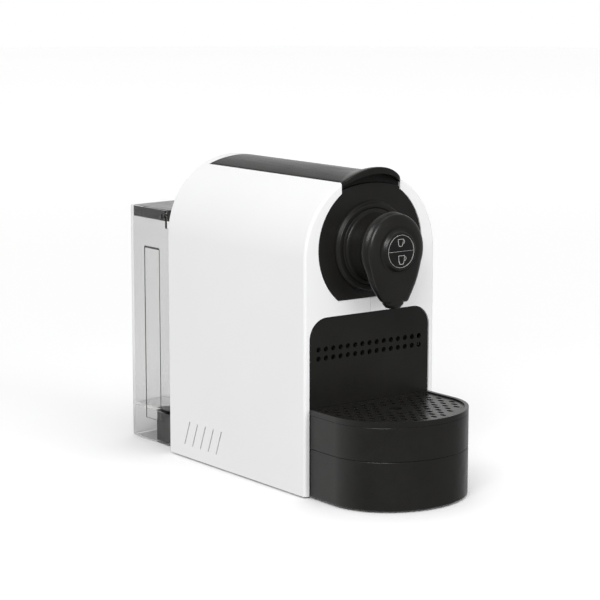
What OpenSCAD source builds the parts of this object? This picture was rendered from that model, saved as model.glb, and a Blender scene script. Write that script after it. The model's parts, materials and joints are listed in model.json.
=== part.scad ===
// Pod coffee machine: arched two-shell casing, top lever, brew group, push buttons,
// slide-out pod drawer with drip tray, and a lift-off water tank behind.
// X is across, Y runs from front to back, Z is up. Inside the modules Y is 0 at the
// casing's front face; every part is then set down with the whole machine centred.

/* [Casing] */
// Width across the two shells
case_w = 124; // [112:1:150]
// Depth of the casing, front face to rear face
case_d = 181; // [165:1:220]
// Height of the crown above the surface the machine stands on
case_h = 240; // [228:1:290]
// Wall of the shells
case_wall = 2.5; // [2:0.1:3]
// Gap along the seam between the two shells
seam_gap = 0.3; // [0.1:0.1:0.6]
// Height of the rubber feet under the base plate
foot_h = 1.5; // [1:0.1:4]
// Thickness of the base plate
base_t = 3; // [2:0.5:4]
// Number of slanted vent slits in each side
slit_count = 5; // [0:1:7]
// Width of one vent slit
slit_w = 1.3; // [0.8:0.1:2]
// Distance from one slit to the next
slit_pitch = 10.95; // [8:0.5:12]

/* [Lever] */
// Width of the lever strip along the crown
lever_w = 54.6; // [48:0.2:58]
// Thickness of the lever's skin
lever_skin = 4; // [3:0.5:5]
// Depth of the lever at its front end
lever_depth = 8; // [7:0.5:10]
// Radius of the arc along the lower edge of the lever's front end
brow_r = 95; // [70:1:140]
// How far the finger lip stands in front of the casing
lip_reach = 8; // [4:0.5:10]
// How far the finger lip rises above the crown
lip_rise = 4; // [2:0.5:6]
// Distance from the casing's rear face to the lever's hinge
hinge_back = 27; // [24:0.5:32]
// Depth of the hinge below the crown
hinge_drop = 15.5; // [14:0.5:17]
// Radius of the hinge pin
hinge_pin_r = 2.5; // [2:0.1:3]

/* [Brew group] */
// Depth of the brewing axis below the crown
head_drop = 55.6; // [52:0.2:60]
// Distance from the front face to the cage's side pins when closed
cage_pin_y = 61; // [56:1:66]
// Outer radius of the capsule cage
cage_r = 19.5; // [18:0.5:21]
// Radius of the pod pocket in the cage
pocket_r = 15.5; // [14:0.5:16]
// Travel of the cage from closed to open
cage_stroke = 22.6; // [20:0.1:28]
// Radius of the cage's side pins and of the link pins
link_pin_r = 2; // [1.5:0.1:2.5]
// Thickness of the frame's side plates
plate_t = 2; // [1.5:0.5:2]

/* [Head] */
// Radius of the black front disc
bezel_r = 49.1; // [44:0.1:52]
// Depth of the disc's flat lower edge below the brewing axis
bezel_cut = 38.4; // [36:0.2:42]
// Radius of the stepped ring round the barrel
ring_r = 34; // [31:0.5:37]
// Radius of the barrel that carries the knob
barrel_r = 26.5; // [24:0.5:28]
// Radius of the knob's round part
knob_r = 28.6; // [26:0.2:31]
// Radius of the knob's lower tip
knob_tip_r = 11; // [8:0.5:12]
// Distance from the brewing axis down to the knob's tip
knob_drop = 41.4; // [36:0.2:44]
// How far the knob stands in front of the casing
knob_reach = 35.4; // [32:0.2:40]
// Radius of the round button field
button_r = 12.2; // [11:0.2:14]
// Travel of each push button
button_travel = 1.2; // [0.8:0.1:1.5]

/* [Drawer and tray] */
// Strip of casing left at each side of the front opening
front_inset = 4.5; // [3.5:0.5:7]
// Height of the splash plate's top edge
splash_top = 134.6; // [120:0.2:140]
// Radius of the splash plate's upper corners
splash_corner = 16; // [6:0.5:20]
// Holes in one row of the splash plate
splash_holes = 15; // [5:1:17]
// Radius of one splash plate hole
splash_hole_r = 2; // [1:0.1:2.4]
// Height of the tray's lower section
tray_base_top = 37.8; // [30:0.2:42]
// Height of the tray's upper section
tray_top = 63.2; // [56:0.2:70]
// Height of the drip grid's rim
rim_top = 67.4; // [60:0.2:74]
// Straight part of the tray's sides
tray_straight = 30; // [20:1:40]
// Depth of the tray's rounded nose
tray_nose = 50.2; // [40:0.2:60]
// Wall of the trays and of the pod bin
tray_wall = 2.2; // [1.6:0.1:3]
// Distance between neighbouring grid holes
grid_pitch = 8.8; // [7:0.2:12]
// Space kept behind the drawer for pump, heater and electronics
bay_d = 78; // [72:1:85]

/* [Water tank] */
// How much narrower the tank is than the casing, at each side
tank_inset = 11.25; // [8:0.25:16]
// Gap between the casing's rear face and the tank
tank_gap = 15; // [13:0.5:20]
// Depth of the tank at its sides
tank_d = 57; // [50:0.5:70]
// How far the tank's rear wall bows out at the middle
tank_bow = 4; // [1:0.5:8]
// Height of the tank's open top
tank_top = 194.4; // [170:0.2:220]
// Height of the tank's floor, inside
tank_floor = 29; // [27:0.5:34]
// Wall of the tank
tank_wall = 2.2; // [1.6:0.1:3]
// Depth of the lid's skirt
lid_skirt = 9.2; // [7:0.2:11]

/* [Fits] */
// Gap round fixed pieces that drop into an opening
trim_gap = 0.3; // [0.2:0.05:0.5]
// Gap round pieces that slide past each other
slide_gap = 0.5; // [0.3:0.05:0.6]
// Gap between a pin and its bore, on the radius
pin_gap = 0.05; // [0.02:0.01:0.1]

/* [Hidden] */
$fn = 96;
e = 0.01;

// Casing
case_r = case_w / 2;
arch_z = case_h - case_r;
case_inner = case_r - case_wall;
base_top = foot_h + base_t;
half_open = case_r - front_inset;
foot_r = 7;

// Lever and its hinge
hinge_y = case_d - hinge_back;
hinge_z = case_h - hinge_drop;
tail_reach = 11;
tail_r = sqrt(pow(hinge_drop, 2) + pow(tail_reach, 2));
lever_half = lever_w / 2;
lug_in = 17.5;
lug_out = 21.5;
crank_y = 20;
crank_z = 2;
crank = [hinge_y - crank_y, hinge_z - crank_z];

// Brewing axis, cage and links
head_z = case_h - head_drop;
cage_front = cage_pin_y - 39;
cage_back = cage_pin_y + 5;
stem_back = cage_back + 30;
stem_r = 7;
tube_r = 3;
plate_in = lever_half + 0.7;
plate_out = plate_in + plate_t;
link_in = 22.5;
link_out = 25.5;
link_span = [crank[0] - cage_pin_y, crank[1] - head_z];
link_len = norm(link_span);
// The eye round the cage pin is wide, and it starts a little off centre, because
// the pin's straight path and the link's swing do not agree exactly.
eye_play = 2.5;
eye_offset = 2.1;
link_angle = atan2(link_span[1], link_span[0]) + asin(eye_offset / link_len);

// Front face layers
bezel_front = 0.6;
bezel_back = 3.6;
ring_front = -3.4;
flare_y = -20;
split_y = -27;
spout_y = -26;
spout_z = head_z - knob_drop - 1.6;
channel_z = head_z - 16.4;
channel_r = 4;
flange_r = ring_r - 5.4;

// Buttons
board_y = -22.6;
button_gap = 0.25;
ring_t = 0.3;
button_front = -knob_reach + 0.2;
button_back = button_front + 3;
stem_z = 6;

// Drawer
tray_half = half_open - trim_gap;
tray_back = -0.4;
splash_front = 1;
splash_t = 2;
bin_half = tray_half - 5;
bin_front = splash_front + splash_t + 4;
bin_back = case_d - bay_d;
bin_top = 118;
carriage_z = base_top + 0.3;
carriage_t = 3;
bin_z = carriage_z + carriage_t;
rim_w = 3;
grid_t = 3;

// Tank, its lid and the dock
tank_half = case_r - tank_inset;
tank_y = case_d + tank_gap;
tank_back = tank_y + tank_d;
tank_corner = 6;
tank_bottom = 0.8;
floor_t = 3;
bow_r = (pow(tank_half, 2) + pow(tank_bow, 2)) / (2 * tank_bow);
lid_top = tank_top + 0.2;
lid_z = lid_top - lid_skirt;
lid_pin = [tank_y + 9, tank_top - 4.4];
lid_pin_r = 2;
dock_back = tank_y + 28;
dock_half = tank_half - tank_wall - 1.5;
outlet_y = tank_y + 14;

// Machinery bay
pipe_z = 12;
bay_y = bin_back + 9;
pump_x = 14;
pump_z = 52;
pump_end = bay_y + 62;
heater_y = case_d - 24;
heater_top = 146;
gland_r = 4.4;
gland_x = case_inner - 8;
gland_z = 36;
cord_r = 3.3;
hose_r = 2.6;

// The whole machine's depth is centred on Y = 0.
front_y = -tray_straight - tray_nose;
mid_y = (front_y + tank_back + tank_bow) / 2;

// ---------- shared shapes ----------

module in_frame() {
    translate([0, -mid_y, 0]) children();
}

// A flat shape drawn in X and Z, thickened from y0 to y1.
module along_y(y0, y1) {
    translate([0, y1, 0]) rotate([90, 0, 0]) linear_extrude(y1 - y0) children();
}

// A flat shape drawn in Y and Z, thickened from x0 to x1.
module along_x(x0, x1) {
    translate([x0, 0, 0]) rotate([90, 0, 90]) linear_extrude(x1 - x0) children();
}

// A flat shape drawn in X and Y, thickened from z0 to z1.
module along_z(z0, z1) {
    translate([0, 0, z0]) linear_extrude(z1 - z0) children();
}

module box(x0, x1, y0, y1, z0, z1) {
    translate([x0, y0, z0]) cube([x1 - x0, y1 - y0, z1 - z0]);
}

module rod_x(r, x0, x1, y, z) {
    translate([x0, y, z]) rotate([0, 90, 0]) cylinder(r = r, h = x1 - x0);
}

module rod_y(r, y0, y1, x, z) {
    translate([x, y0, z]) rotate([-90, 0, 0]) cylinder(r = r, h = y1 - y0);
}

module rod_z(r, z0, z1, x, y) {
    translate([x, y, z0]) cylinder(r = r, h = z1 - z0);
}

module tube_y(r_out, r_in, y0, y1, x, z) {
    difference() {
        rod_y(r_out, y0, y1, x, z);
        rod_y(r_in, y0 - 1, y1 + 1, x, z);
    }
}

module tube_z(r_out, r_in, z0, z1, x, y) {
    difference() {
        rod_z(r_out, z0, z1, x, y);
        rod_z(r_in, z0 - 1, z1 + 1, x, y);
    }
}

module both_sides() {
    children();
    mirror([1, 0, 0]) children();
}

module round_rect(x0, x1, y0, y1, r) {
    translate([x0 + r, y0]) square([x1 - x0 - 2 * r, y1 - y0]);
    translate([x0, y0 + r]) square([x1 - x0, y1 - y0 - 2 * r]);
    for (x = [x0 + r, x1 - r], y = [y0 + r, y1 - r])
        translate([x, y]) circle(r);
}

function unit(v) = v / norm(v);

// Points of a smooth curve through a route, with steps points between each two.
function curve(route, steps) = [
    for (i = [0 : len(route) - 2], k = [0 : steps - 1])
        let (
            t = k / steps,
            p = route[max(i - 1, 0)], q = route[i], r = route[i + 1],
            u = route[min(i + 2, len(route) - 1)]
        )
        q + t * (r - p) / 2 + t * t * (2 * p - 5 * q + 4 * r - u) / 2
            + t * t * t * (3 * q - p - 3 * r + u) / 2,
    route[len(route) - 1]
];

// A round hose along a route. No stretch of a route may run along its ref direction.
module hose(route, r, ref = [1, 1, -1]) {
    sides = 10;
    path = curve(route, 4);
    last = len(path) - 1;
    rings = [
        for (i = [0 : last])
            let (
                along = i == 0 ? unit(route[1] - route[0])
                    : i == last ? unit(route[len(route) - 1] - route[len(route) - 2])
                    : unit(path[i + 1] - path[i - 1]),
                across = unit(cross(along, ref)),
                up = cross(across, along)
            )
            for (k = [0 : sides - 1])
                path[i] + r * (cos(k * 360 / sides) * across + sin(k * 360 / sides) * up)
    ];
    polyhedron(rings, concat(
        [[for (k = [sides - 1 : -1 : 0]) k]],
        [[for (k = [0 : sides - 1]) last * sides + k]],
        [
            for (i = [0 : last - 1], k = [0 : sides - 1])
                let (a = i * sides + k, b = i * sides + (k + 1) % sides)
                for (face = [[a, b, b + sides], [a, b + sides, a + sides]]) face
        ]
    ));
}

// Straight-sided arch with a half-round top.
module arch(r, z0) {
    translate([-r, z0]) square([2 * r, arch_z - z0]);
    translate([0, arch_z]) circle(r);
}

// Ring of the arch between two radii, over the width of the lever or a wider strip.
module crown_strip(r_out, r_in, half) {
    intersection() {
        difference() {
            translate([0, arch_z]) circle(r_out);
            translate([0, arch_z]) circle(r_in);
        }
        translate([-half, arch_z]) square([2 * half, r_out + 1]);
    }
}

// ---------- casing ----------

module front_opening() {
    translate([-half_open, -1]) square([2 * half_open, splash_top - splash_corner + 1]);
    translate([-half_open + splash_corner, splash_top - splash_corner - e])
        square([2 * (half_open - splash_corner), splash_corner + trim_gap + e]);
    for (s = [-1, 1])
        translate([s * (half_open - splash_corner), splash_top - splash_corner + trim_gap])
            circle(splash_corner);
}

// Disc whose top edge is the arc between the lever's front end and the front piece.
module brow_disc(grow) {
    translate([0, case_h - lever_depth - brow_r]) circle(brow_r + grow);
}

// The black front piece: a disc with a flat lower edge, and a neck up to the lever.
module bezel_outline(grow) {
    intersection() {
        union() {
            translate([0, head_z]) circle(bezel_r + grow);
            translate([-lever_half - grow, head_z]) square([lever_w + 2 * grow, head_drop]);
        }
        brow_disc(-trim_gap + grow);
        translate([-bezel_r - 1, head_z - bezel_cut - grow])
            square([2 * bezel_r + 2, 2 * bezel_r + 2]);
    }
}

module lever_slot() {
    half = lever_half + slide_gap;
    box(-half, half, -1, hinge_y, arch_z, case_h + 1);
    rod_x(tail_r + slide_gap, -half, half, hinge_y, hinge_z);
}

module vent_slits() {
    lean = 21.2;
    slit_len = 21;
    for (i = [0 : slit_count - 1])
        translate([0, case_d - 26 - i * slit_pitch, 21.3])
            rotate([lean, 0, 0])
                box(-case_r - 1, -case_inner + 1, -slit_w / 2, slit_w / 2,
                    -slit_len / 2, slit_len / 2);
}

module screw_posts() {
    for (y = [bay_y, case_d - 11]) {
        difference() {
            union() {
                rod_z(4, base_top, base_top + 18, -case_inner + 5.5, y);
                box(-case_inner - e, -case_inner + 5.5, y - 1, y + 1, base_top, base_top + 18);
            }
            rod_z(1.5 + pin_gap, base_top - 1, base_top + 12, -case_inner + 5.5, y);
        }
    }
}

module half_shell() {
    difference() {
        along_y(0, case_d) arch(case_r, foot_h);
        along_y(case_wall, case_d - case_wall) arch(case_inner, foot_h - 1);
        along_y(-1, case_wall + 1) front_opening();
        along_y(-1, case_wall + 1) bezel_outline(trim_gap);
        lever_slot();
        vent_slits();
        rod_y(5.5, case_d - case_wall - 1, case_d + 1, 0, pipe_z);
        box(-seam_gap / 2, case_r + 1, -1, case_d + 1, 0, case_h + 1);
    }
    screw_posts();
}

module left_shell() {
    color("white") in_frame() half_shell();
}

module right_shell() {
    color("white") in_frame() difference() {
        mirror([1, 0, 0]) half_shell();
        rod_y(gland_r + pin_gap, case_d - case_wall - 1, case_d + 1, gland_x, gland_z);
    }
}

module base_plate() {
    color("dimgray") in_frame() difference() {
        box(-case_inner + trim_gap, case_inner - trim_gap, case_wall + trim_gap,
            case_d - case_wall - trim_gap, foot_h, base_top);
        both_sides() for (y = [bay_y, case_d - 11]) {
            rod_z(1.8, foot_h - 1, base_top + 1, -case_inner + 5.5, y);
            rod_z(3.3, foot_h - 1, foot_h + 1.6, -case_inner + 5.5, y);
        }
    }
}

module feet() {
    color("black") in_frame()
        both_sides() for (y = [14, case_d - 24])
            rod_z(foot_r, 0, foot_h, case_r - 18, y);
}

module casing_screws() {
    color("silver") in_frame()
        both_sides() for (y = [bay_y, case_d - 11]) {
            rod_z(3, foot_h + 0.1, foot_h + 1.6, -case_inner + 5.5, y);
            rod_z(1.5, foot_h + 1.5, base_top + 10, -case_inner + 5.5, y);
        }
}

// Inner cover under the lever, with the slot that pods drop through.
module top_deck() {
    deck_r = case_r - lever_depth - 1;
    cheek_t = 1.6;
    deck_half = lever_half + slide_gap + cheek_t;
    deck_end = cage_front + 78;
    color("dimgray") in_frame() difference() {
        union() {
            along_y(bezel_back + trim_gap, deck_end)
                crown_strip(deck_r, deck_r - 2, deck_half);
            both_sides() along_y(bezel_back + trim_gap, deck_end) intersection() {
                difference() {
                    translate([0, arch_z]) circle(case_inner - trim_gap);
                    translate([0, arch_z]) circle(deck_r - 2);
                }
                translate([deck_half - cheek_t, arch_z]) square([cheek_t, case_r]);
            }
        }
        box(-17, 17, cage_front - 3, cage_front + cage_stroke + 3, arch_z, case_h);
    }
}

module cord_gland() {
    color("black") in_frame() difference() {
        union() {
            rod_y(gland_r + 2.6, case_d, case_d + 3, gland_x, gland_z);
            rod_y(gland_r, case_d - case_wall - 3, case_d + e, gland_x, gland_z);
            rod_y(gland_r + 0.8, case_d + 3 - e, case_d + 9, gland_x, gland_z);
        }
        rod_y(cord_r, case_d - case_wall - 4, case_d + 10, gland_x, gland_z);
    }
}

module drawer_rails() {
    color("dimgray") in_frame() both_sides()
        box(bin_half + 2 + slide_gap, bin_half + 4 + slide_gap,
            case_wall + 2, bin_back, base_top, base_top + 8);
}

// ---------- head ----------

module front_bezel() {
    color("black") in_frame() difference() {
        along_y(bezel_front, bezel_back) bezel_outline(0);
        rod_y(channel_r + trim_gap, bezel_front - 1, bezel_back + 1, 0, channel_z);
    }
}

module head_ring() {
    color("black") in_frame() translate([0, 0, head_z]) rotate([-90, 0, 0])
        rotate_extrude() polygon([
            [flange_r + trim_gap, bezel_front], [ring_r, bezel_front],
            [ring_r, bezel_front - 2.2], [ring_r - 1, bezel_front - 3],
            [ring_r - 4, ring_front], [flange_r + trim_gap, ring_front]
        ]);
}

// Circle of radius r and a smaller tip circle joined by their common tangents.
module teardrop(r, tip_r, drop) {
    d = drop - tip_r;
    a = acos((r - tip_r) / d);
    translate([0, head_z]) {
        circle(r);
        translate([0, -d]) circle(tip_r);
        polygon([
            [r * sin(a), -r * cos(a)], [tip_r * sin(a), -d - tip_r * cos(a)],
            [-tip_r * sin(a), -d - tip_r * cos(a)], [-r * sin(a), -r * cos(a)]
        ]);
    }
}

// Room for the coffee channel and the spout inside the knob.
module channel_room() {
    r = channel_r + trim_gap;
    rod_y(r, spout_y, bezel_front, 0, channel_z);
    rod_z(r, spout_z, channel_z, 0, spout_y);
    translate([0, spout_y, channel_z]) sphere(r);
    rod_z(7 + trim_gap, spout_z, spout_z + 12, 0, spout_y);
}

module knob_barrel() {
    color("black") in_frame() difference() {
        union() {
            rod_y(flange_r, ring_front, bezel_front, 0, head_z);
            rod_y(barrel_r, flare_y - 1, bezel_front, 0, head_z);
            along_y(flare_y - 3, flare_y) teardrop(knob_r - 1.4, knob_tip_r - 1, knob_drop - 1.4);
            along_y(split_y, flare_y - 2) teardrop(knob_r, knob_tip_r, knob_drop);
        }
        rod_y(barrel_r - 2.5, flare_y + 2, bezel_front + 1, 0, head_z);
        rod_y(16, split_y - 1, flare_y + 3, 0, head_z);
        channel_room();
    }
}

module knob_cover() {
    color("black") in_frame() difference() {
        union() {
            along_y(-29.5, split_y) teardrop(knob_r - 2, knob_tip_r - 1.5, knob_drop - 0.5);
            along_y(-33, -29) teardrop(knob_r - 3.4, knob_tip_r - 2.4, knob_drop - 1.2);
            translate([0, 0, head_z]) rotate([90, 0, 0])
                translate([0, 0, 32]) cylinder(r1 = 19.5, r2 = 14.2, h = knob_reach - 32);
        }
        rod_y(button_r, -knob_reach - 1, button_back + 0.8, 0, head_z);
        rod_y(16, button_back + 0.7, split_y + 1, 0, head_z);
        channel_room();
    }
}

module button_ring() {
    color("darkgray") in_frame()
        tube_y(button_r, button_r - ring_t, -knob_reach, button_back, 0, head_z);
}

module half_button() {
    r = button_r - ring_t - trim_gap;
    difference() {
        rod_y(r, button_front, button_back, 0, head_z);
        box(-r - 1, r + 1, button_front - 1, button_back + 1, head_z - r - 1,
            head_z + button_gap);
    }
    rod_y(2, button_back - e, board_y - 2 - button_travel - 0.1, 0, head_z + stem_z);
}

module espresso_button() {
    color("dimgray") in_frame() half_button();
}

module lungo_button() {
    color("dimgray") in_frame()
        translate([0, 0, 2 * head_z]) mirror([0, 0, 1]) half_button();
}

module button_springs() {
    color("silver") in_frame() for (s = [-1, 1])
        tube_y(2, 1.5, button_back + button_travel + 0.2, board_y, 7, head_z + s * 5);
}

module button_board() {
    color("green") in_frame() difference() {
        rod_y(15.7, board_y, board_y + 1.4, 0, head_z);
        rod_y(channel_r + trim_gap, board_y - 1, board_y + 2, 0, channel_z);
    }
}

module button_switches() {
    color("black") in_frame() for (s = [-1, 1])
        box(-3, 3, board_y - 2, board_y, head_z + s * stem_z - 3, head_z + s * stem_z + 3);
}

module outlet_channel() {
    color("gray") in_frame() difference() {
        union() {
            rod_y(channel_r, spout_y, bezel_back, 0, channel_z);
            rod_z(channel_r, spout_z + 8, channel_z, 0, spout_y);
            translate([0, spout_y, channel_z]) sphere(channel_r);
        }
        rod_y(2.5, spout_y, bezel_back + 1, 0, channel_z);
        rod_z(2.5, spout_z + 7, channel_z, 0, spout_y);
    }
}

module spout() {
    color("black") in_frame() difference() {
        union() {
            translate([0, spout_y, spout_z]) cylinder(r1 = 5, r2 = 7, h = 2);
            rod_z(7, spout_z + 2 - e, spout_z + 10, 0, spout_y);
        }
        rod_z(3, spout_z - 1, spout_z + 11, 0, spout_y);
        rod_z(channel_r, spout_z + 8, spout_z + 11, 0, spout_y);
    }
}

// ---------- brew group ----------

module brew_head() {
    color("gray") in_frame() difference() {
        union() {
            rod_y(24, bezel_back, cage_front - 3, 0, head_z);
            box(-plate_in, plate_in, bezel_back + 2, cage_front - 6, head_z - 18, head_z + 18);
        }
        rod_y(2.5, bezel_back - 1, cage_front - 2, 0, channel_z);
    }
}

module pierce_plate() {
    color("silver") in_frame() difference() {
        rod_y(14, cage_front - 3, cage_front - 1.6, 0, head_z);
        for (x = [-8 : 4 : 8], z = [-8 : 4 : 8])
            rod_y(0.7, cage_front - 4, cage_front, x, head_z + z);
    }
}

module head_seal() {
    color("black") in_frame()
        tube_y(18, 14.2, cage_front - 3, cage_front - 0.5, 0, head_z);
}

module frame_plate() {
    plate_low = head_z - 26;
    plate_high = head_z + 32;
    difference() {
        intersection() {
            union() {
                box(plate_in, plate_out, bezel_back + 3, hinge_y + 12, plate_low, plate_high);
                box(plate_in, plate_out, hinge_y - 9, hinge_y + 9, plate_high - e, hinge_z);
                rod_x(hinge_pin_r + 2, plate_in, plate_out, hinge_y, hinge_z);
            }
            along_y(0, case_d) arch(case_inner - trim_gap, 0);
        }
        rod_x(hinge_pin_r + pin_gap, plate_in - 1, plate_out + 1, hinge_y, hinge_z);
        slot_r = link_pin_r + 0.2;
        rod_x(slot_r, plate_in - 1, plate_out + 1, cage_pin_y - 0.4, head_z);
        rod_x(slot_r, plate_in - 1, plate_out + 1, cage_pin_y + cage_stroke + 0.4, head_z);
        box(plate_in - 1, plate_out + 1, cage_pin_y - 0.4, cage_pin_y + cage_stroke + 0.4,
            head_z - slot_r, head_z + slot_r);
    }
}

module frame_plate_left() {
    color("lightgray") in_frame() mirror([1, 0, 0]) frame_plate();
}

module frame_plate_right() {
    color("lightgray") in_frame() frame_plate();
}

// Two cross bars that hold the side plates apart, one of them carrying the feed tube.
module frame_bars() {
    tube_bar_y = stem_back + cage_stroke + 3;
    color("gray") in_frame() {
        difference() {
            box(-plate_in, plate_in, tube_bar_y, tube_bar_y + 6, head_z - 12, head_z + 12);
            rod_y(tube_r + pin_gap, tube_bar_y - 1, tube_bar_y + 7, 0, head_z);
        }
        box(-plate_in, plate_in, hinge_y + 2, hinge_y + 8, head_z + 6, head_z + 17);
    }
}

module feed_tube() {
    color("silver") in_frame()
        tube_y(tube_r, 1.5, stem_back - 12, stem_back + cage_stroke + 14, 0, head_z);
}

module pod_chute() {
    color("dimgray") in_frame() difference() {
        box(-24, 24, cage_front - 8, cage_front + 46, bin_top + 3, head_z - 27);
        box(-22, 22, cage_front - 6, cage_front + 44, bin_top + 2, head_z - 26);
    }
}

module capsule_cage() {
    color("gray") in_frame() difference() {
        union() {
            rod_y(cage_r, cage_front, cage_back, 0, head_z);
            rod_y(stem_r, cage_back - e, stem_back, 0, head_z);
        }
        rod_y(pocket_r, cage_front - 1, cage_front + 30, 0, head_z);
        rod_y(tube_r + 0.1, cage_front + 29, stem_back + 1, 0, head_z);
        both_sides() rod_x(link_pin_r, cage_r - 5, cage_r + 1, cage_pin_y, head_z);
    }
}

module cage_pins() {
    color("silver") in_frame() both_sides()
        rod_x(link_pin_r, cage_r - 5, plate_out + 0.6, cage_pin_y, head_z);
}

// ---------- lever and links ----------

// Side outline of the raised finger lip, in Y and Z.
module lip_outline() {
    polygon([
        [14, case_h - 2], [-lip_reach - 1, case_h + lip_rise + 1],
        [-lip_reach - 1, case_h + lip_rise - 4], [-2, case_h - lever_depth + 3],
        [2, case_h - lever_depth - 9], [14, case_h - lever_depth - 9]
    ]);
}

module lip() {
    lip_nose = lip_reach + 1;
    plan_r = (pow(lever_half, 2) + pow(lip_nose, 2)) / (2 * lip_nose);
    lip_side = lip_rise + 7;
    top_r = (pow(lever_half, 2) + pow(lip_side, 2)) / (2 * lip_side);
    intersection() {
        along_x(-lever_half, lever_half) lip_outline();
        rod_z(plan_r, arch_z, case_h + 10, 0, plan_r - lip_reach);
        along_y(-lip_reach - 2, 14) difference() {
            translate([0, case_h + lip_rise - top_r]) circle(top_r);
            brow_disc(0);
        }
    }
}

module lever_lug() {
    intersection() {
        along_x(lug_in, lug_out) {
            translate([hinge_y, hinge_z]) circle(7);
            translate(crank) circle(6);
            translate([crank[0] - 6, hinge_z - 4])
                square([crank_y + 12, hinge_drop + 4]);
        }
        along_y(0, case_d) arch(case_r - lever_skin / 2, 0);
    }
}

// The lever's rounded rear end, concentric with its hinge.
module lever_tail() {
    intersection() {
        along_y(hinge_y - e, case_d) arch(case_r, hinge_z);
        rod_x(tail_r, -lever_half, lever_half, hinge_y, hinge_z);
        difference() {
            box(-lever_half, lever_half, hinge_y - e, case_d, hinge_z, case_h);
            intersection() {
                along_y(hinge_y - 1, case_d) arch(case_r - lever_skin, hinge_z - 1);
                rod_x(tail_r - lever_skin, -lever_half - 1, lever_half + 1, hinge_y, hinge_z);
            }
        }
    }
}

module lever() {
    color("dimgray") in_frame() difference() {
        union() {
            along_y(0, hinge_y)
                crown_strip(case_r, case_r - lever_skin, lever_half);
            lever_tail();
            along_y(0, 6) difference() {
                crown_strip(case_r, case_r - 2 * lever_depth, lever_half);
                brow_disc(0);
            }
            lip();
            both_sides() lever_lug();
        }
        rod_x(hinge_pin_r + pin_gap, -lever_half - 1, lever_half + 1, hinge_y, hinge_z);
        both_sides() rod_x(link_pin_r, lug_in - 1, lug_out + 1, crank[0], crank[1]);
    }
}

module hinge_pin() {
    color("silver") in_frame()
        rod_x(hinge_pin_r, -plate_out - 1, plate_out + 1, hinge_y, hinge_z);
}

module link_pins() {
    color("silver") in_frame() both_sides()
        rod_x(link_pin_r, lug_in, link_out + 0.8, crank[0], crank[1]);
}

module link() {
    translate([0, crank[0], crank[1]]) rotate([link_angle, 0, 0]) difference() {
        union() {
            rod_x(5, link_in, link_out, 0, 0);
            rod_x(link_pin_r + eye_play + 2.5, link_in, link_out, -link_len, 0);
            box(link_in, link_out, -link_len, 0, -3.5, 3.5);
        }
        rod_x(link_pin_r + pin_gap, link_in - 1, link_out + 1, 0, 0);
        rod_x(link_pin_r + eye_play, link_in - 1, link_out + 1, -link_len, 0);
    }
}

module link_left() {
    color("silver") in_frame() mirror([1, 0, 0]) link();
}

module link_right() {
    color("silver") in_frame() link();
}

// ---------- machinery bay ----------

module thermoblock() {
    color("silver") in_frame() difference() {
        union() {
            box(-28, 28, bay_y + 2, case_d - 14, heater_top - 40, heater_top);
            both_sides() rod_z(4, heater_top - e, heater_top + 8, pump_x, heater_y);
        }
        for (x = [-24, 24], y = [bay_y + 6, case_d - 18])
            rod_z(2, heater_top - 41, heater_top + 1, x, y);
    }
}

module thermostat() {
    color("darkgray") in_frame() {
        rod_z(8, heater_top, heater_top + 4, 0, bay_y + 18);
        box(-9, 9, bay_y + 16, bay_y + 20, heater_top + 4 - e, heater_top + 6);
    }
}

module pump_core() {
    color("silver") in_frame() {
        rod_y(10, bay_y + 2, bay_y + 52, pump_x, pump_z);
        rod_y(4, bay_y - 4, bay_y + 3, pump_x, pump_z);
        rod_y(4, bay_y + 51, pump_end, pump_x, pump_z);
        rod_z(3, pump_z, pump_z + 14, pump_x, pump_end - 3.2);
    }
}

module pump_coil() {
    color("black") in_frame() difference() {
        box(pump_x - 20, pump_x + 20, bay_y + 12, bay_y + 48, pump_z - 20, pump_z + 20);
        rod_y(10 + pin_gap, bay_y + 11, bay_y + 49, pump_x, pump_z);
    }
}

module pump_bracket() {
    color("dimgray") in_frame() {
        box(pump_x - 22, pump_x + 22, bay_y + 14, bay_y + 46, pump_z - 24, pump_z - 20);
        for (x = [pump_x - 20, pump_x + 16], y = [bay_y + 16, bay_y + 40])
            box(x, x + 4, y, y + 4, base_top, pump_z - 24 + e);
    }
}

module flow_meter() {
    color("white") in_frame() {
        rod_x(14, -46, -34, bay_y + 34, 40);
        rod_x(3, -34 - e, -28, bay_y + 34, 40);
        box(-44, -36, bay_y + 30, bay_y + 38, base_top, 28);
        rod_z(3, 53, 62, -40, bay_y + 34);
    }
}

// Tank dock pipe, under the casing's rear wall, to the flow meter.
module suction_hose() {
    color("lightblue") in_frame()
        hose([[0, case_d - 6.2, pipe_z], [0, case_d - 11, pipe_z],
              [-12, case_d - 24, pipe_z + 8], [-22, bay_y + 34, 40],
              [-27.6, bay_y + 34, 40]], hose_r);
}

// Flow meter to the pump's inlet.
module pump_hose() {
    color("lightblue") in_frame()
        hose([[-40, bay_y + 34, 62.4], [-40, bay_y + 34, 69], [-24, bay_y + 20, 80],
              [0, bay_y + 4, 84], [pump_x, bay_y - 2, 74], [pump_x, bay_y - 2, 62],
              [pump_x, bay_y - 2, pump_z + 4.2]], hose_r);
}

// Pump outlet up to the heater's inlet.
module riser_hose() {
    y = pump_end - 3.2;
    color("lightblue") in_frame()
        hose([[pump_x, y, pump_z + 14.2], [pump_x, y, pump_z + 20], [pump_x, y, 110],
              [pump_x, y, 150], [pump_x, y - 2, 158], [pump_x, y - 7, 162.5],
              [pump_x, heater_y, 159.5], [pump_x, heater_y, heater_top + 8.2]],
            hose_r, [1, 0.6, 0]);
}

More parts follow.
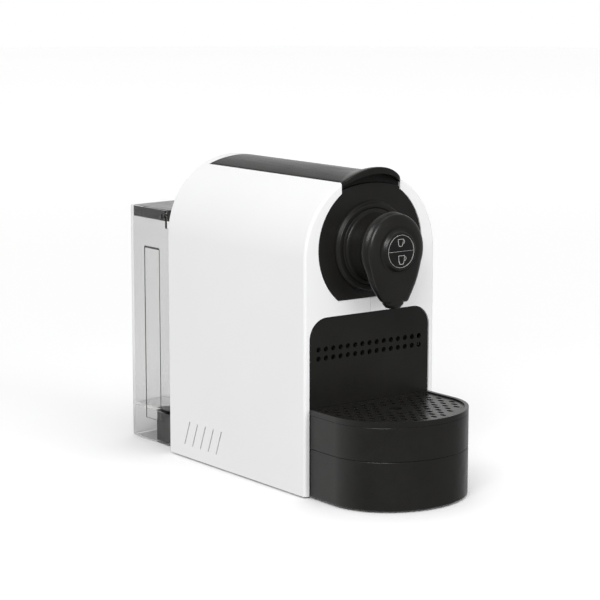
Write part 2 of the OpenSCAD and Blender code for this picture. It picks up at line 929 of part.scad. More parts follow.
// Heater outlet to the brew group's feed tube.
module heater_hose() {
    feed_y = stem_back + cage_stroke + 14;
    color("lightblue") in_frame()
        hose([[-pump_x, heater_y, heater_top + 8.2], [-pump_x, heater_y, heater_top + 13],
              [-pump_x + 6, heater_y + 4, head_z - 12], [0, feed_y + 16, head_z - 2],
              [0, feed_y + 6, head_z], [0, feed_y + 0.2, head_z]], hose_r);
}

module control_board() {
    color("green") in_frame()
        box(-case_inner + 3, -case_inner + 4.6, bay_y, case_d - 12, 78, 150);
}

module board_parts() {
    x = -case_inner + 4.6;
    color("dimgray") in_frame() {
        box(x, x + 16, bay_y + 4, bay_y + 24, 84, 100);
        rod_x(6, x, x + 18, bay_y + 40, 96);
        box(x, x + 10, bay_y + 8, bay_y + 44, 130, 138);
        rod_x(4, x, x + 12, bay_y + 14, 116);
    }
}

// ---------- drawer, drip tray and pod bin ----------

// Plan of the tray: straight sides, then a half-ellipse nose.
module tray_plan(inset) {
    half = tray_half - inset;
    nose = tray_nose - inset;
    back = tray_back - inset;
    intersection() {
        union() {
            translate([-half, -tray_straight]) square([2 * half, tray_straight]);
            translate([0, -tray_straight]) scale([1, nose / half]) circle(half);
        }
        translate([-half - 1, front_y - 1]) square([2 * half + 2, back - front_y + 1]);
    }
}

module tray_base() {
    color("black") in_frame() {
        difference() {
            along_z(foot_h, tray_base_top) tray_plan(0);
            along_z(foot_h + tray_wall, tray_base_top + 1) tray_plan(tray_wall);
        }
        box(-bin_half - 2, bin_half + 2, tray_back - e, bin_back, carriage_z, bin_z);
    }
}

module pod_bin() {
    color("dimgray") in_frame() difference() {
        box(-bin_half, bin_half, bin_front, bin_back, bin_z, bin_top);
        box(-bin_half + tray_wall, bin_half - tray_wall, bin_front + tray_wall,
            bin_back - tray_wall, bin_z + tray_wall, bin_top + 1);
    }
}

module splash_plate() {
    hole_pitch = 6.9;
    row_gap = 6.8;
    row_z = splash_top - 23.6;
    color("black") in_frame() difference() {
        along_y(splash_front, splash_front + splash_t) {
            translate([-tray_half, bin_z])
                square([2 * tray_half, splash_top - splash_corner - bin_z]);
            translate([-tray_half + splash_corner, splash_top - splash_corner - e])
                square([2 * (tray_half - splash_corner), splash_corner + e]);
            for (s = [-1, 1])
                translate([s * (tray_half - splash_corner), splash_top - splash_corner])
                    circle(splash_corner);
        }
        for (i = [0 : splash_holes - 1], row = [0, 1])
            rod_y(splash_hole_r, splash_front - 1, splash_front + splash_t + 1,
                (i - (splash_holes - 1) / 2) * hole_pitch, row_z - row * row_gap, $fn = 24);
    }
}

module drip_tray() {
    color("black") in_frame() difference() {
        along_z(tray_base_top, tray_top) tray_plan(0);
        along_z(tray_base_top + tray_wall, tray_top + 1) tray_plan(tray_wall);
    }
}

// True where a hole of the grid lies well inside the rim and clear of the drain.
function grid_hole(x, y) =
    let (half = tray_half - rim_w - 4.5, nose = tray_nose - rim_w - 4.5)
    y < -7 && norm([x, y + tray_straight]) > 11
    && (y > -tray_straight ? abs(x) < half
        : pow(x / half, 2) + pow((y + tray_straight) / nose, 2) < 1);

module drip_grid() {
    row_pitch = grid_pitch * sin(60);
    rows = floor((tray_straight + tray_nose) / row_pitch);
    columns = ceil(tray_half / grid_pitch);
    drain_r = 5;
    color("black") in_frame() difference() {
        along_z(tray_top, rim_top) tray_plan(0);
        along_z(tray_top + grid_t, rim_top + 1) tray_plan(rim_w);
        for (j = [1 : rows], i = [-columns : columns]) {
            x = (i + (j % 2) / 2) * grid_pitch;
            y = -j * row_pitch;
            if (grid_hole(x, y)) along_z(tray_top - 1, rim_top) {
                translate([x - 1.7, y - 1.2]) square([3.4, 2.4]);
                for (s = [-1, 1]) translate([x, y + s * 1.2]) circle(1.7, $fn = 24);
            }
        }
        rod_z(drain_r, tray_top - 1, rim_top, 0, -tray_straight);
    }
}

// ---------- tank and dock ----------

// Plan of the tank: rounded corners and a gently bowed rear wall.
module tank_plan(inset) {
    intersection() {
        round_rect(-tank_half + inset, tank_half - inset, tank_y + inset,
            tank_back + tank_bow - inset, tank_corner - inset);
        translate([0, tank_back + tank_bow - bow_r]) circle(bow_r - inset, $fn = 180);
    }
}

// Shallow panel pressed into each side wall.
module side_panel() {
    panel_depth = 1;
    box(-tank_half - 1, -tank_half + panel_depth, tank_y + 14.5, tank_y + 37, tank_bottom + 18,
        tank_top - 33);
}

module water_tank() {
    lid_swing = 14.4;
    front_cut = 5.2;
    color("lightcyan", 0.4) in_frame() difference() {
        along_z(tank_bottom, tank_top) tank_plan(0);
        along_z(tank_floor, tank_top + 1) tank_plan(tank_wall);
        along_z(tank_bottom - 1, tank_floor - floor_t) tank_plan(tank_wall);
        both_sides() side_panel();
        box(-tank_half - 1, tank_half + 1, tank_y - 1, tank_y + front_cut,
            tank_top - lid_swing, tank_top + 1);
        box(-tank_half + tank_wall, tank_half - tank_wall, tank_y - 1, tank_y + tank_corner,
            tank_bottom - 1, tank_floor - floor_t);
        rod_z(6, tank_floor - floor_t - 1, tank_floor + 1, 0, outlet_y);
        both_sides() rod_x(lid_pin_r + pin_gap, tank_half - tank_wall - 1, tank_half + 1,
            lid_pin[0], lid_pin[1]);
    }
}

module tank_valve() {
    color("black") in_frame() difference() {
        union() {
            rod_z(8, tank_floor, tank_floor + 2, 0, outlet_y);
            rod_z(6 - pin_gap, tank_floor - floor_t - 5, tank_floor + e, 0, outlet_y);
        }
        rod_z(4, tank_floor - floor_t - 6, tank_floor + 3, 0, outlet_y);
    }
}

module tank_lid() {
    lid_t = 2.4;
    skirt_t = 1.8;
    inset = tank_wall + trim_gap;
    color("gray", 0.8) in_frame() {
        difference() {
            along_z(lid_z, lid_top) lid_plan(inset);
            along_z(lid_z - 1, lid_top - lid_t) lid_plan(inset + skirt_t);
        }
        both_sides() rod_x(lid_pin_r, tank_half - inset - skirt_t + e, tank_half - 0.6,
            lid_pin[0], lid_pin[1]);
    }
}

// The lid's plan reaches over the lowered front wall of the tank.
module lid_plan(inset) {
    front = tank_y + 0.8 + inset - tank_wall - trim_gap;
    front_corner = 8;
    back = tank_back + tank_bow - inset;
    intersection() {
        round_rect(-tank_half + inset, tank_half - inset, front, back, tank_corner - inset);
        round_rect(-tank_half + inset, tank_half - inset, front, back + 2 * front_corner,
            front_corner);
        translate([0, tank_back + tank_bow - bow_r]) circle(bow_r - inset, $fn = 180);
    }
}

// Upright column on the casing's rear face that the tank stands against.
module tank_guide() {
    guide_t = 2.5;
    guide_z = tank_floor - floor_t;
    color("dimgray") in_frame() difference() {
        along_z(guide_z, tank_top - 8) round_rect(-34, 34, case_d, tank_y - 1.2, 3);
        box(-34 + guide_t, 34 - guide_t, case_d - 1, tank_y - 1.2 - guide_t,
            guide_z + guide_t, tank_top - 8 - guide_t);
    }
}

module tank_dock() {
    dock_top = tank_floor - floor_t;
    color("dimgray") in_frame() difference() {
        along_z(foot_h, dock_top) round_rect(-dock_half, dock_half, case_d, dock_back, 4);
        along_z(foot_h - 1, dock_top - 2.4) difference() {
            round_rect(-dock_half + 2.4, dock_half - 2.4, case_d + 2.4, dock_back - 2.4, 2);
            translate([0, outlet_y]) circle(12);
            translate([-8, case_d]) square([16, outlet_y - case_d]);
        }
        rod_z(6.5, dock_top - 8, dock_top + 1, 0, outlet_y);
        rod_z(2.6, pipe_z - 2.5, dock_top, 0, outlet_y);
        rod_y(2.6, case_d - 1, outlet_y, 0, pipe_z);
    }
}

module dock_inlet() {
    dock_top = tank_floor - floor_t;
    color("silver") in_frame() difference() {
        union() {
            rod_z(2.5, pipe_z - 2.4, dock_top, 0, outlet_y);
            rod_y(2.5, case_d - 6, outlet_y, 0, pipe_z);
        }
        rod_z(1.4, pipe_z, dock_top + 1, 0, outlet_y);
        rod_y(1.4, case_d - 7, outlet_y, 0, pipe_z);
    }
}

module dock_seal() {
    dock_top = tank_floor - floor_t;
    color("black") in_frame()
        tube_z(3.7, 2.6, dock_top - 7.9, dock_top - 5, 0, outlet_y);
}

left_shell();
right_shell();
base_plate();
feet();
casing_screws();
top_deck();
tank_guide();
tank_dock();
dock_inlet();
dock_seal();
cord_gland();
drawer_rails();
front_bezel();
head_ring();
knob_barrel();
knob_cover();
button_ring();
espresso_button();
lungo_button();
button_springs();
button_board();
button_switches();
outlet_channel();
spout();
brew_head();
pierce_plate();
head_seal();
frame_plate_left();
frame_plate_right();
frame_bars();
feed_tube();
pod_chute();
lever();
hinge_pin();
link_pins();
link_left();
link_right();
capsule_cage();
cage_pins();
thermoblock();
thermostat();
pump_core();
pump_coil();
pump_bracket();
flow_meter();
suction_hose();
pump_hose();
riser_hose();
heater_hose();
control_board();
board_parts();
tray_base();
pod_bin();
splash_plate();
drip_tray();
drip_grid();
water_tank();
tank_valve();
tank_lid();
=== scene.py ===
"""Pod coffee machine: looks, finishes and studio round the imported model."""
import json
import math

import bmesh
import bpy
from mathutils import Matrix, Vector


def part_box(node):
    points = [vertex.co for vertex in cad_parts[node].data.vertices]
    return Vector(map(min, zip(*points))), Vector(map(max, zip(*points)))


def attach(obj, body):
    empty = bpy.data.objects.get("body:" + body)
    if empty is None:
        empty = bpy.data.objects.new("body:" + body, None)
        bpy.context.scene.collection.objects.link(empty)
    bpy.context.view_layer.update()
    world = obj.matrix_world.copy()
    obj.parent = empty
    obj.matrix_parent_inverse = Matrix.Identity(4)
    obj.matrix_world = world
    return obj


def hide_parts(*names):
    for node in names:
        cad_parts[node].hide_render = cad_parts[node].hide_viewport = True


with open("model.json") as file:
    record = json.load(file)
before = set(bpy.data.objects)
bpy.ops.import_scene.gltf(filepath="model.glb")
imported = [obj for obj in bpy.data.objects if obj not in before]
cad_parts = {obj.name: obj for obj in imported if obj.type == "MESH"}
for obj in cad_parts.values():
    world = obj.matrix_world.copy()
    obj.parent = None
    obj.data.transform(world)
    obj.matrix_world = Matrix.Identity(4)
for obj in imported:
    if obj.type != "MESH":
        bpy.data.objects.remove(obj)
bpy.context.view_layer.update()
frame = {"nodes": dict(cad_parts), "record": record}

# ---------- measures ----------

MM = 0.001
SHELL_LOW, SHELL_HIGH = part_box("left_shell")
FRONT = SHELL_LOW.y                                  # the casing's front face
CASE_R = -SHELL_LOW.x / MM                           # radius of the arch, in mm
CROWN = SHELL_HIGH.z / MM                            # height of the crown, in mm
ARCH_Z = CROWN - CASE_R
BARREL_LOW, BARREL_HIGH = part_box("knob_barrel")
RING_LOW, RING_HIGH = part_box("head_ring")
HEAD_Z = (RING_LOW.z + RING_HIGH.z) / 2 / MM         # height of the brewing axis
KNOB_R = BARREL_HIGH.z / MM - HEAD_Z
KNOB_DROP = HEAD_Z - BARREL_LOW.z / MM
KNOB_FACE = (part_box("knob_cover")[0].y - FRONT) / MM
BUTTON_FACE = (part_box("espresso_button")[0].y - FRONT) / MM
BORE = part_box("button_ring")[1].x / MM + 0.05        # opening for the buttons and their ring
RING_R = RING_HIGH.x / MM
RING_FACE = (RING_LOW.y - FRONT) / MM
LEVER_LOW, LEVER_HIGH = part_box("lever")
LEVER_HALF = LEVER_HIGH.x / MM
PIN_LOW, PIN_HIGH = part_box("hinge_pin")
HINGE = ((PIN_LOW.y + PIN_HIGH.y) / 2 / MM - FRONT / MM, (PIN_LOW.z + PIN_HIGH.z) / 2 / MM)
LIP_REACH = (FRONT - LEVER_LOW.y) / MM
LIP_RISE = LEVER_HIGH.z / MM - CROWN
WELD = 2e-6                                          # points nearer than this, in m, are one
FLAT = math.radians(0.4)                             # facets that bend less than this are one face
SHARP_DEG = 38                                       # edges that bend more than this are real edges


def at(x, y, z):
    """A point given in mm, with y counted from the casing's front face."""
    return Vector((x * MM, FRONT + y * MM, z * MM))


def placed(name, data):
    """Puts a mesh, light or camera into the scene as an object."""
    obj = bpy.data.objects.new(name, data)
    bpy.context.scene.collection.objects.link(obj)
    return obj


def map_range(tree, output, start, end, low, high):
    """Node output that goes from low to high while the given one goes from start to end."""
    node = tree.nodes.new("ShaderNodeMapRange")
    for key, value in (("From Min", start), ("From Max", end), ("To Min", low), ("To Max", high)):
        node.inputs[key].default_value = value
    tree.links.new(output, node.inputs["Value"])
    return node.outputs["Result"]


# ---------- materials ----------

class Look:
    """A Principled material with helpers for its procedural detail."""

    def __init__(self, name, colour, roughness, **sockets):
        self.material = bpy.data.materials.new(name)
        self.material.use_nodes = True
        self.tree = self.material.node_tree
        self.shader = self.tree.nodes["Principled BSDF"]
        self.coords = self.add("ShaderNodeTexCoord").outputs["Object"]
        self.set("Base Color", (*colour, 1))
        self.set("Roughness", roughness)
        for socket, value in sockets.items():
            self.set(socket.replace("_", " "), value)

    def add(self, kind, **settings):
        node = self.tree.nodes.new(kind)
        for key, value in settings.items():
            setattr(node, key, value)
        return node

    def set(self, socket, value):
        self.shader.inputs[socket].default_value = value

    def link(self, output, target):
        self.tree.links.new(output, target)

    def stretched(self, scale):
        node = self.add("ShaderNodeMapping")
        node.inputs["Scale"].default_value = scale
        self.link(self.coords, node.inputs["Vector"])
        return node.outputs["Vector"]

    def noise(self, scale, detail=2.0, coords=None):
        node = self.add("ShaderNodeTexNoise")
        node.inputs["Scale"].default_value = scale
        node.inputs["Detail"].default_value = detail
        self.link(coords or self.coords, node.inputs["Vector"])
        return node.outputs["Fac"]

    def cells(self, scale, feature="F1"):
        node = self.add("ShaderNodeTexVoronoi", feature=feature)
        node.inputs["Scale"].default_value = scale
        self.link(self.coords, node.inputs["Vector"])
        return node.outputs["Distance"]

    def wave(self, scale, direction):
        node = self.add("ShaderNodeTexWave", bands_direction=direction)
        node.inputs["Scale"].default_value = scale
        self.link(self.coords, node.inputs["Vector"])
        return node.outputs["Fac"]

    def sum(self, a, b, weight):
        node = self.add("ShaderNodeMath", operation="MULTIPLY_ADD")
        node.inputs[1].default_value = weight
        self.link(b, node.inputs[0])
        self.link(a, node.inputs[2])
        return node.outputs["Value"]

    def tint(self, factor, low, high, start=0.3, end=0.7):
        node = self.add("ShaderNodeValToRGB")
        node.color_ramp.elements[0].position = start
        node.color_ramp.elements[0].color = (*low, 1)
        node.color_ramp.elements[1].position = end
        node.color_ramp.elements[1].color = (*high, 1)
        self.link(factor, node.inputs["Fac"])
        self.link(node.outputs["Color"], self.shader.inputs["Base Color"])

    def rough(self, factor, low, high):
        self.link(map_range(self.tree, factor, 0.3, 0.7, low, high), self.shader.inputs["Roughness"])

    def bump(self, height, depth_mm, strength=1.0):
        node = self.add("ShaderNodeBump")
        node.inputs["Distance"].default_value = depth_mm * MM
        node.inputs["Strength"].default_value = strength
        self.link(height, node.inputs["Height"])
        self.link(node.outputs["Normal"], self.shader.inputs["Normal"])


def white_shell():
    """Smooth white casing plastic with a faint orange-peel skin."""
    look = Look("white_shell", (0.77, 0.77, 0.773), 0.32, Specular_IOR_Level=0.45)
    look.tint(look.noise(9, 3), (0.76, 0.76, 0.763), (0.78, 0.78, 0.782))
    look.rough(look.noise(60, 4), 0.28, 0.37)
    look.bump(look.noise(900, 2), 0.006)
    return look.material


def black_trim():
    """Satin black plastic with a fine spark-eroded grain."""
    look = Look("black_trim", (0.0105, 0.0101, 0.0092), 0.31, Specular_IOR_Level=0.45)
    look.tint(look.noise(35, 4), (0.0095, 0.0091, 0.0083), (0.0120, 0.0116, 0.0106))
    look.rough(look.noise(140, 5), 0.27, 0.36)
    look.bump(look.sum(look.noise(3200, 2), look.cells(2300), 0.4), 0.006)
    return look.material


def lever_black():
    """The lever's smoother, shinier plastic, with fine wipe marks along it."""
    look = Look("lever_black", (0.013, 0.0127, 0.0121), 0.27, Specular_IOR_Level=0.12)
    fine = look.stretched((1, 0.12, 1))
    look.tint(look.noise(30, 3), (0.0115, 0.0112, 0.0106), (0.0145, 0.0142, 0.0136))
    look.rough(look.noise(260, 4, fine), 0.23, 0.32)
    look.bump(look.noise(1400, 2), 0.008)
    return look.material


def button_black():
    look = Look("button_black", (0.008, 0.008, 0.008), 0.34, Specular_IOR_Level=0.4)
    look.tint(look.noise(60, 3), (0.006, 0.006, 0.006), (0.010, 0.010, 0.0095))
    look.rough(look.noise(220, 4), 0.3, 0.42)
    look.bump(look.noise(2600, 2), 0.008)
    return look.material


def print_grey():
    """The light-grey print of the cup outlines and the ring round the buttons."""
    look = Look("print_grey", (0.36, 0.36, 0.34), 0.45)
    look.tint(look.noise(900, 3), (0.31, 0.31, 0.295), (0.41, 0.41, 0.395))
    look.rough(look.noise(1500, 2), 0.4, 0.52)
    look.bump(look.noise(3000, 2), 0.01)
    return look.material


def inner_grey():
    look = Look("inner_grey", (0.05, 0.05, 0.05), 0.5)
    look.tint(look.noise(28, 4), (0.042, 0.042, 0.042), (0.06, 0.06, 0.059))
    look.rough(look.noise(180, 4), 0.44, 0.6)
    look.bump(look.noise(1800, 3), 0.02)
    return look.material


def rubber():
    look = Look("rubber", (0.022, 0.022, 0.022), 0.75, Specular_IOR_Level=0.3)
    look.tint(look.noise(70, 4), (0.017, 0.017, 0.017), (0.032, 0.031, 0.03))
    look.rough(look.noise(300, 4), 0.66, 0.84)
    look.bump(look.noise(1500, 4), 0.03)
    return look.material


def steel():
    """Plain steel with brushing along Y and slight tarnish."""
    look = Look("steel", (0.56, 0.56, 0.57), 0.3, Metallic=1.0)
    brushed = look.stretched((1, 0.03, 1))
    look.tint(look.noise(60, 4), (0.48, 0.48, 0.485), (0.64, 0.64, 0.645))
    look.rough(look.noise(2400, 3, brushed), 0.22, 0.42)
    look.bump(look.noise(3600, 2, brushed), 0.008)
    return look.material


def group_nylon():
    """Glass-filled nylon of the brew group: mid grey with short pale fibres."""
    look = Look("group_nylon", (0.13, 0.13, 0.135), 0.55)
    fibres = look.stretched((1, 0.2, 1))
    look.tint(look.noise(1900, 4, fibres), (0.11, 0.11, 0.115), (0.19, 0.19, 0.19), 0.35, 0.8)
    look.rough(look.noise(200, 4), 0.48, 0.64)
    look.bump(look.noise(1600, 3, fibres), 0.02)
    return look.material


def aluminium():
    """Die-cast heater block: pale, slightly cloudy and pitted."""
    look = Look("aluminium", (0.62, 0.63, 0.64), 0.45, Metallic=1.0)
    look.tint(look.noise(45, 5), (0.5, 0.505, 0.515), (0.7, 0.7, 0.705))
    look.rough(look.noise(420, 5), 0.36, 0.58)
    look.bump(look.sum(look.noise(800, 4), look.cells(1300), 0.4), 0.05)
    return look.material


def coil():
    """Pump coil: dark potted body with the turns showing through its tape."""
    look = Look("coil", (0.03, 0.028, 0.03), 0.5)
    turns = look.wave(420, "Y")
    look.tint(turns, (0.02, 0.019, 0.021), (0.05, 0.045, 0.045), 0.2, 0.9)
    look.rough(look.noise(150, 3), 0.4, 0.58)
    look.bump(look.sum(turns, look.noise(900, 3), 0.3), 0.06)
    return look.material


def board_green():
    """Circuit board: solder mask with paler tracks under it."""
    look = Look("board_green", (0.012, 0.09, 0.035), 0.32)
    tracks = look.cells(260, "DISTANCE_TO_EDGE")
    look.tint(tracks, (0.04, 0.2, 0.08), (0.008, 0.07, 0.026), 0.04, 0.1)
    look.rough(look.noise(300, 3), 0.26, 0.4)
    look.bump(tracks, 0.03, 0.4)
    return look.material


def part_black():
    """Moulded cases of the parts on the boards."""
    look = Look("part_black", (0.03, 0.03, 0.032), 0.42)
    look.tint(look.noise(300, 3), (0.024, 0.024, 0.026), (0.042, 0.042, 0.044))
    look.rough(look.noise(500, 4), 0.36, 0.52)
    look.bump(look.noise(2800, 2), 0.012)
    return look.material


def hose_silicone():
    look = Look("hose_silicone", (0.72, 0.74, 0.73), 0.36, Transmission_Weight=0.35, IOR=1.41)
    look.tint(look.noise(90, 3), (0.66, 0.68, 0.67), (0.78, 0.8, 0.79))
    look.rough(look.noise(400, 3), 0.3, 0.45)
    look.bump(look.noise(1200, 2), 0.015)
    return look.material


def tank_clear():
    """Clear moulded plastic with very slight waviness and a grey tint."""
    look = Look("tank_clear", (0.785, 0.787, 0.785), 0.04, Transmission_Weight=1.0, IOR=1.16)
    look.tint(look.noise(12, 2), (0.775, 0.777, 0.775), (0.795, 0.797, 0.795))
    look.rough(look.noise(70, 3), 0.02, 0.07)
    look.bump(look.noise(45, 2), 0.01)
    return look.material


def painted_refraction_line():
    """Painted refraction: a grey line where the tank's wall steps, standing in for how the step bends what
    is seen through it.
    """
    look = Look("painted_refraction_line", (0.16, 0.16, 0.158), 0.3, Transmission_Weight=0.3, IOR=1.2)
    look.tint(look.noise(120, 3), (0.13, 0.13, 0.128), (0.2, 0.2, 0.198))
    look.rough(look.noise(300, 3), 0.25, 0.38)
    look.bump(look.noise(700, 2), 0.01)
    return look.material


def lid_smoke():
    """Smoked translucent plastic of the tank's lid."""
    look = Look("lid_smoke", (0.028, 0.028, 0.027), 0.2, Transmission_Weight=0.05, IOR=1.45)
    look.tint(look.noise(25, 3), (0.024, 0.024, 0.023), (0.033, 0.033, 0.032))
    look.rough(look.noise(120, 4), 0.17, 0.28)
    look.bump(look.noise(1100, 2), 0.01)
    return look.material


LOOKS = {make.__name__: make() for make in (
    white_shell, black_trim, lever_black, button_black, print_grey, inner_grey, rubber, steel,
    group_nylon, aluminium, coil, board_green, part_black, hose_silicone, tank_clear, painted_refraction_line, lid_smoke)}

# The record's slots whose look has another name, and the nodes that differ within their slot.
SLOT_LOOKS = {"ring_grey": "print_grey", "electronics": "part_black", "hose": "hose_silicone"}
# pod_bin takes the trim's black instead of its slot's grey: partly its own dark plastic, partly painted
# shade that makes the splash plate's holes read dark.
NODE_LOOKS = {"pod_bin": "black_trim", "button_board": "board_green", "control_board": "board_green"}

USUAL_EDGE = 0.3                                     # edge rounding, in mm

# Edge rounding in mm where it isn't the usual one.
EDGES = {
    "splash_plate": 0.15, "tray_base": 0.7, "drip_tray": 0.7, "drip_grid": 0.2, "water_tank": 0.6,
    "tank_lid": 0.6, "tank_guide": 0.8, "tank_dock": 0.8, "pod_bin": 0.6,
    "thermoblock": 1.2, "pump_coil": 1.5, "control_board": 0.1, "button_board": 0.1,
    "button_springs": 0.08, "pierce_plate": 0.1, "spout": 0.5, "espresso_button": 0.25,
    "lungo_button": 0.25, "button_ring": 0.15, "feet": 0.4,
}
PLAIN = {"suction_hose", "pump_hose", "riser_hose", "heater_hose"}


def paint(obj, look):
    obj.data.materials.clear()
    obj.data.materials.append(LOOKS[look])
    for polygon in obj.data.polygons:
        polygon.material_index = 0


def keep_shading(obj):
    """Evens out the smooth shading without losing sharp edges."""
    obj.modifiers.new("shade", "WEIGHTED_NORMAL").keep_sharp = True


def soften(obj, width_mm, rounds=3):
    """Merges the mesh's facets and rounds its real edges. A width of 0 leaves the edges."""
    weld = obj.modifiers.new("weld", "WELD")
    weld.merge_threshold = WELD
    flat = obj.modifiers.new("flat", "DECIMATE")
    flat.decimate_type = "DISSOLVE"
    flat.angle_limit = FLAT
    if width_mm:
        edge = obj.modifiers.new("edge", "BEVEL")
        edge.width = width_mm * MM
        edge.segments = rounds
        edge.limit_method = "ANGLE"
        edge.angle_limit = math.radians(SHARP_DEG)
    keep_shading(obj)


def dress_cad_nodes():
    """Gives every CAD node its finish and rounded edges."""
    slots = {s["node"]: s["material_slot"] for s in frame["record"]["subparts"]}
    for node, obj in frame["nodes"].items():
        paint(obj, NODE_LOOKS.get(node, SLOT_LOOKS.get(slots[node], slots[node])))
        for polygon in obj.data.polygons:
            polygon.use_smooth = True
        soften(obj, 0 if node in PLAIN else EDGES.get(node, USUAL_EDGE))


# ---------- mesh helpers ----------

def piece(name, bm, look, body, slot, *nodes):
    """Makes an object of a bmesh in mm, and says what it rides on and stands for."""
    bmesh.ops.recalc_face_normals(bm, faces=bm.faces)
    mesh = bpy.data.meshes.new(name)
    bm.to_mesh(mesh)
    bm.free()
    obj = placed(name, mesh)
    for polygon in mesh.polygons:
        polygon.use_smooth = True
    paint(obj, look)
    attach(obj, body)
    if nodes:
        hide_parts(*nodes)
    return obj


def shade_by_angle(obj, degrees):
    """Marks edges sharper than the angle, so that smooth shading stops there."""
    obj.data.set_sharp_from_angle(angle=math.radians(degrees))


def loft(rings, closed=False):
    """Joins equal rings of points, one after the other. closed joins the last to the first."""
    bm = bmesh.new()
    loops = [[bm.verts.new(p) for p in ring] for ring in rings]
    for a, b in zip(loops, loops[1:] + (loops[:1] if closed else [])):
        for i in range(len(a)):
            j = (i + 1) % len(a)
            bm.faces.new((a[i], a[j], b[j], b[i]))
    return bm


def extrude(outline, x0, x1, bm):
    """Adds a flat outline in y and z, thickened from x0 to x1, to the bmesh."""
    sides = [[bm.verts.new(at(x, y, z)) for y, z in outline] for x in (x0, x1)]
    bm.faces.new(sides[0])
    bm.faces.new(sides[1][::-1])
    for i in range(len(outline)):
        j = (i + 1) % len(outline)
        bm.faces.new((sides[0][i], sides[0][j], sides[1][j], sides[1][i]))


def arc(cx, cz, r, start, end, steps):
    """Points along an arc, angles in degrees."""
    angles = [math.radians(start + (end - start) * i / steps) for i in range(steps + 1)]
    return [(cx + r * math.cos(a), cz + r * math.sin(a)) for a in angles]


# ---------- casing ----------

def carve(node, name, look, body, slot, groups):
    """Makes a copy of a CAD node's mesh with its facets merged and its edges rounded by group.
    Each group is (test of an edge's middle in mm, width in mm, rounds)."""
    bm = bmesh.new()
    bm.from_mesh(frame["nodes"][node].data)
    bmesh.ops.remove_doubles(bm, verts=bm.verts, dist=WELD)
    bmesh.ops.dissolve_limit(bm, angle_limit=FLAT, verts=bm.verts, edges=bm.edges)
    for test, width, rounds in groups:
        edges = []
        for edge in bm.edges:
            middle = (edge.verts[0].co + edge.verts[1].co) / 2
            x, y, z = middle.x / MM, (middle.y - FRONT) / MM, middle.z / MM
            real = len(edge.link_faces) == 2 and edge.calc_face_angle() > math.radians(SHARP_DEG)
            if real and test(x, y, z):
                edges.append(edge)
        bmesh.ops.bevel(bm, geom=edges, offset=width * MM, offset_type="OFFSET",
                        segments=rounds, profile=0.5, affect="EDGES", clamp_overlap=True)
    obj = piece(name, bm, look, body, slot, node)
    shade_by_angle(obj, SHARP_DEG)
    keep_shading(obj)


RIM_ROUND, SEAM_ROUND = 2.2, 0.2                     # the casing's rims and its other edges


def on_rim(x, y, z):
    """True on the casing's outer outline at its front or rear face."""
    depth = (SHELL_HIGH.y - SHELL_LOW.y) / MM
    side = abs(abs(x) - CASE_R) if z < ARCH_Z else abs(math.hypot(x, z - ARCH_Z) - CASE_R)
    return side < 0.12 and min(abs(y), abs(y - depth)) < 0.1


def make_casing():
    """Both shells, with soft front and rear rims and a crisp seam."""
    for side in ("left", "right"):
        carve(side + "_shell", side + "_casing", "white_shell", "machine", "white_shell",
              [(on_rim, RIM_ROUND, 6), (lambda x, y, z: not on_rim(x, y, z), SEAM_ROUND, 2)])


# ---------- lever ----------

LEVER_SKIN = 4.0
LEVER_WALL = 8.0
WALL_Y = 2.4                                         # the front wall stands back under the lip
BROW_R = 95.0                                        # arc along the front wall's lower edge
TAIL_R = (LEVER_HIGH.y - FRONT) / MM - HINGE[0]
SIDE_ROUND, SIDE_DROP = 1.0, 0.5                     # the strip's rounded long edges
LUG_IN, LUG_OUT = 17.5, 21.5                         # the lugs' inner and outer sides
CRANK_BACK, CRANK_DOWN = 20, 2                       # from the hinge to the links' pins


def smooth(t):
    t = max(0.0, min(1.0, t))
    return t * t * (3 - 2 * t)


def lever_section(x):
    """Closed outline of the lever in y and z at one x."""
    top = ARCH_Z + math.sqrt(CASE_R ** 2 - x ** 2) - SIDE_DROP * smooth(
        (abs(x) - LEVER_HALF + SIDE_ROUND) / SIDE_ROUND)
    brow = CROWN - LEVER_WALL - BROW_R + math.sqrt(BROW_R ** 2 - x ** 2)
    share = max(0.0, 1 - (x / LEVER_HALF) ** 2)
    reach, rise = LIP_REACH * share ** 0.6, LIP_RISE * share ** 0.8
    rim = top + rise - 2.6 - 2.6 * share ** 0.5      # the lip's lower edge
    y0, z0 = HINGE
    outer_end = math.degrees(math.asin(min(1.0, (top - z0) / TAIL_R)))
    inner_r = TAIL_R - LEVER_SKIN
    inner_end = math.degrees(math.asin(min(1.0, (top - LEVER_SKIN - z0) / inner_r)))
    points = arc(y0, z0, TAIL_R, 0, outer_end, 10)
    points += [(y0 * k / 10, top) for k in range(9, 1, -1)]
    back = 3 + 14 * share
    for k in range(1, 9):
        t = k / 8
        points.append((back - (back + reach - 1.2) * t, top + rise * smooth(t)))
    points += arc(-reach + 0.9, top + rise - 0.9, 0.9, 80, 190, 6)
    depth = WALL_Y + reach - 0.7                     # from the lower edge back to the front wall
    points += [(-reach + 0.1, rim + 0.9), (-reach + 0.25, rim + 0.3), (-reach + 0.7, rim),
               (WALL_Y - 0.5 * depth, rim + 0.4 * share), (WALL_Y - 0.1 * depth, rim + 0.3 * share),
               (WALL_Y, rim - 0.2), (WALL_Y, brow), (6.0, brow), (6.0, max(brow, top - LEVER_SKIN))]
    points += [(y0 * k / 6, top - LEVER_SKIN) for k in range(1, 6)]
    points += arc(y0, z0, inner_r, inner_end, 0, 10)
    return points


